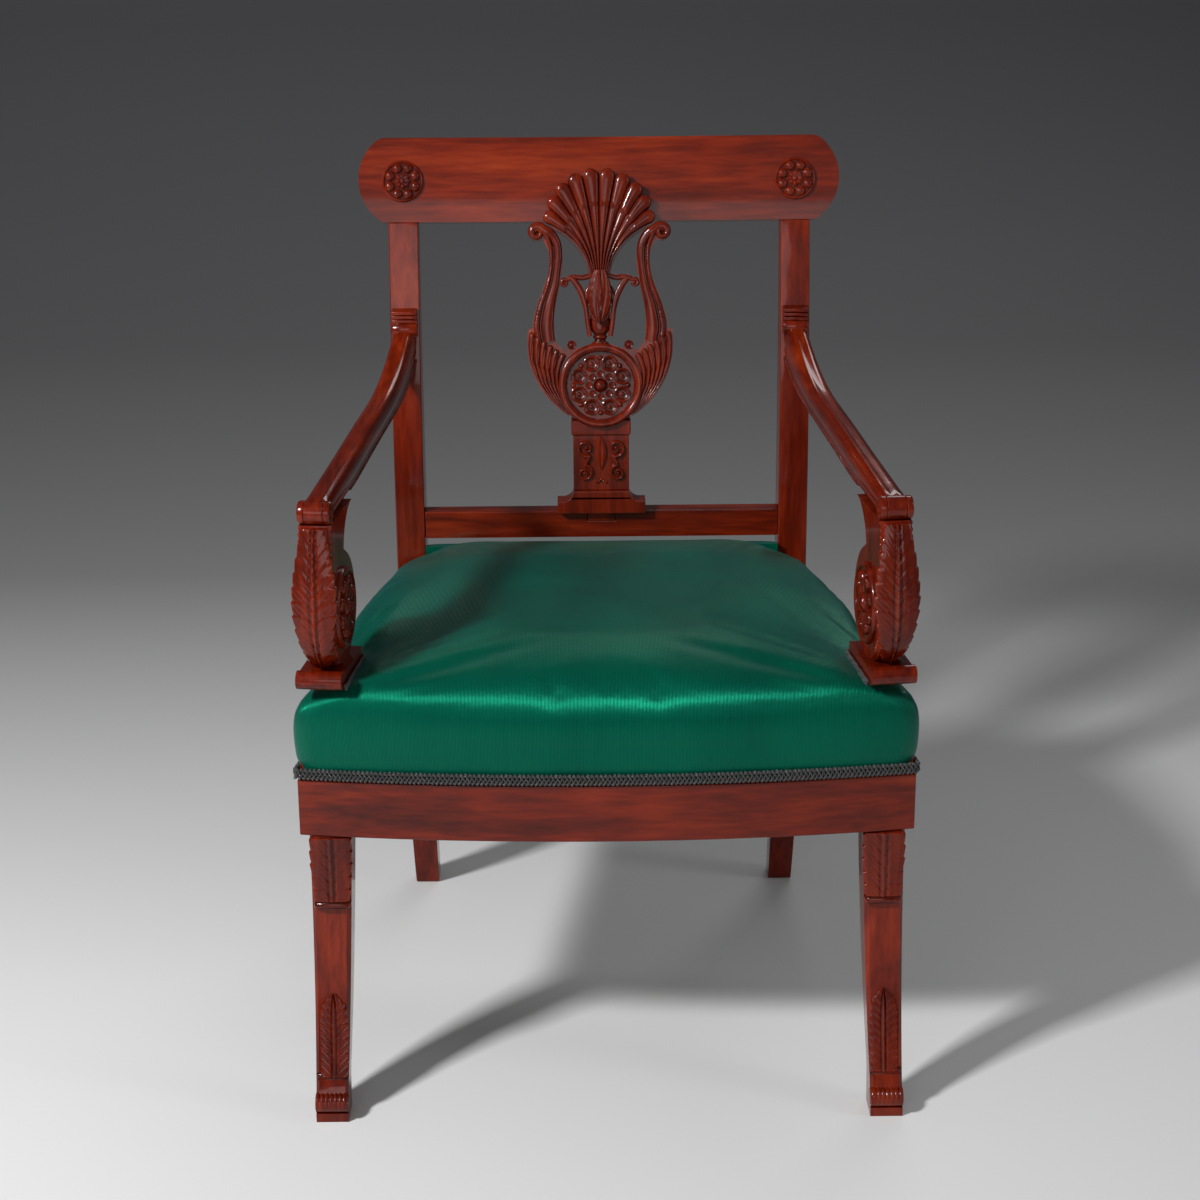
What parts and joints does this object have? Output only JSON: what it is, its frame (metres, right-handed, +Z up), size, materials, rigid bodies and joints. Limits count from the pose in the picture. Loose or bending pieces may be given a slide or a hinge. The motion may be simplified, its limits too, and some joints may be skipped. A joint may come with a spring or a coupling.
{
  "type": "lyre back armchair",
  "caption": "Polished mahogany open armchair with a carved lyre splat, scrolled arms on leaf carved supports, sabre legs and a stuffed satin seat.",
  "frame": {"origin": "centre of the footprint's bounding box, on the floor under the soles", "axes": "+Z up, -Y towards the front of the seat, +X to the right as seen from in front"},
  "size_m": [0.605, 0.6006, 0.9],
  "materials": {
    "mahogany": "french polish gloss",
    "carved_mahogany": "french polish gloss",
    "frame_beech": "bare",
    "satin": "satin weave",
    "stuffing": "felted fibre",
    "gimp": "braid",
    "webbing": "plain weave",
    "hessian": "open weave"
  },
  "bodies": {
    "root": {"crest_rail": "mahogany", "front_seat_rail": "mahogany", "left_arm": "mahogany", "right_arm": "mahogany", "left_arm_base": "mahogany", "right_arm_base": "mahogany", "left_arm_support": "mahogany", "right_arm_support": "mahogany", "left_back_leg": "mahogany", "right_back_leg": "mahogany", "left_front_leg": "mahogany", "right_front_leg": "mahogany", "left_side_rail": "mahogany", "right_side_rail": "mahogany", "splat_base": "mahogany", "splat_plinth": "mahogany", "stay_rail": "mahogany", "crest_rosettes": "carved_mahogany", "lyre_body": "carved_mahogany", "lyre_calyx": "carved_mahogany", "lyre_patera": "carved_mahogany", "lyre_shell": "carved_mahogany", "volute_rosettes": "carved_mahogany", "rear_seat_rail": "frame_beech", "left_back_block": "frame_beech", "right_back_block": "frame_beech", "left_front_block": "frame_beech", "right_front_block": "frame_beech", "seat_cover": "satin", "seat_stuffing": "stuffing", "gimp_trim": "gimp", "webbing": "webbing", "hessian": "hessian"}
  },
  "joints": []
}
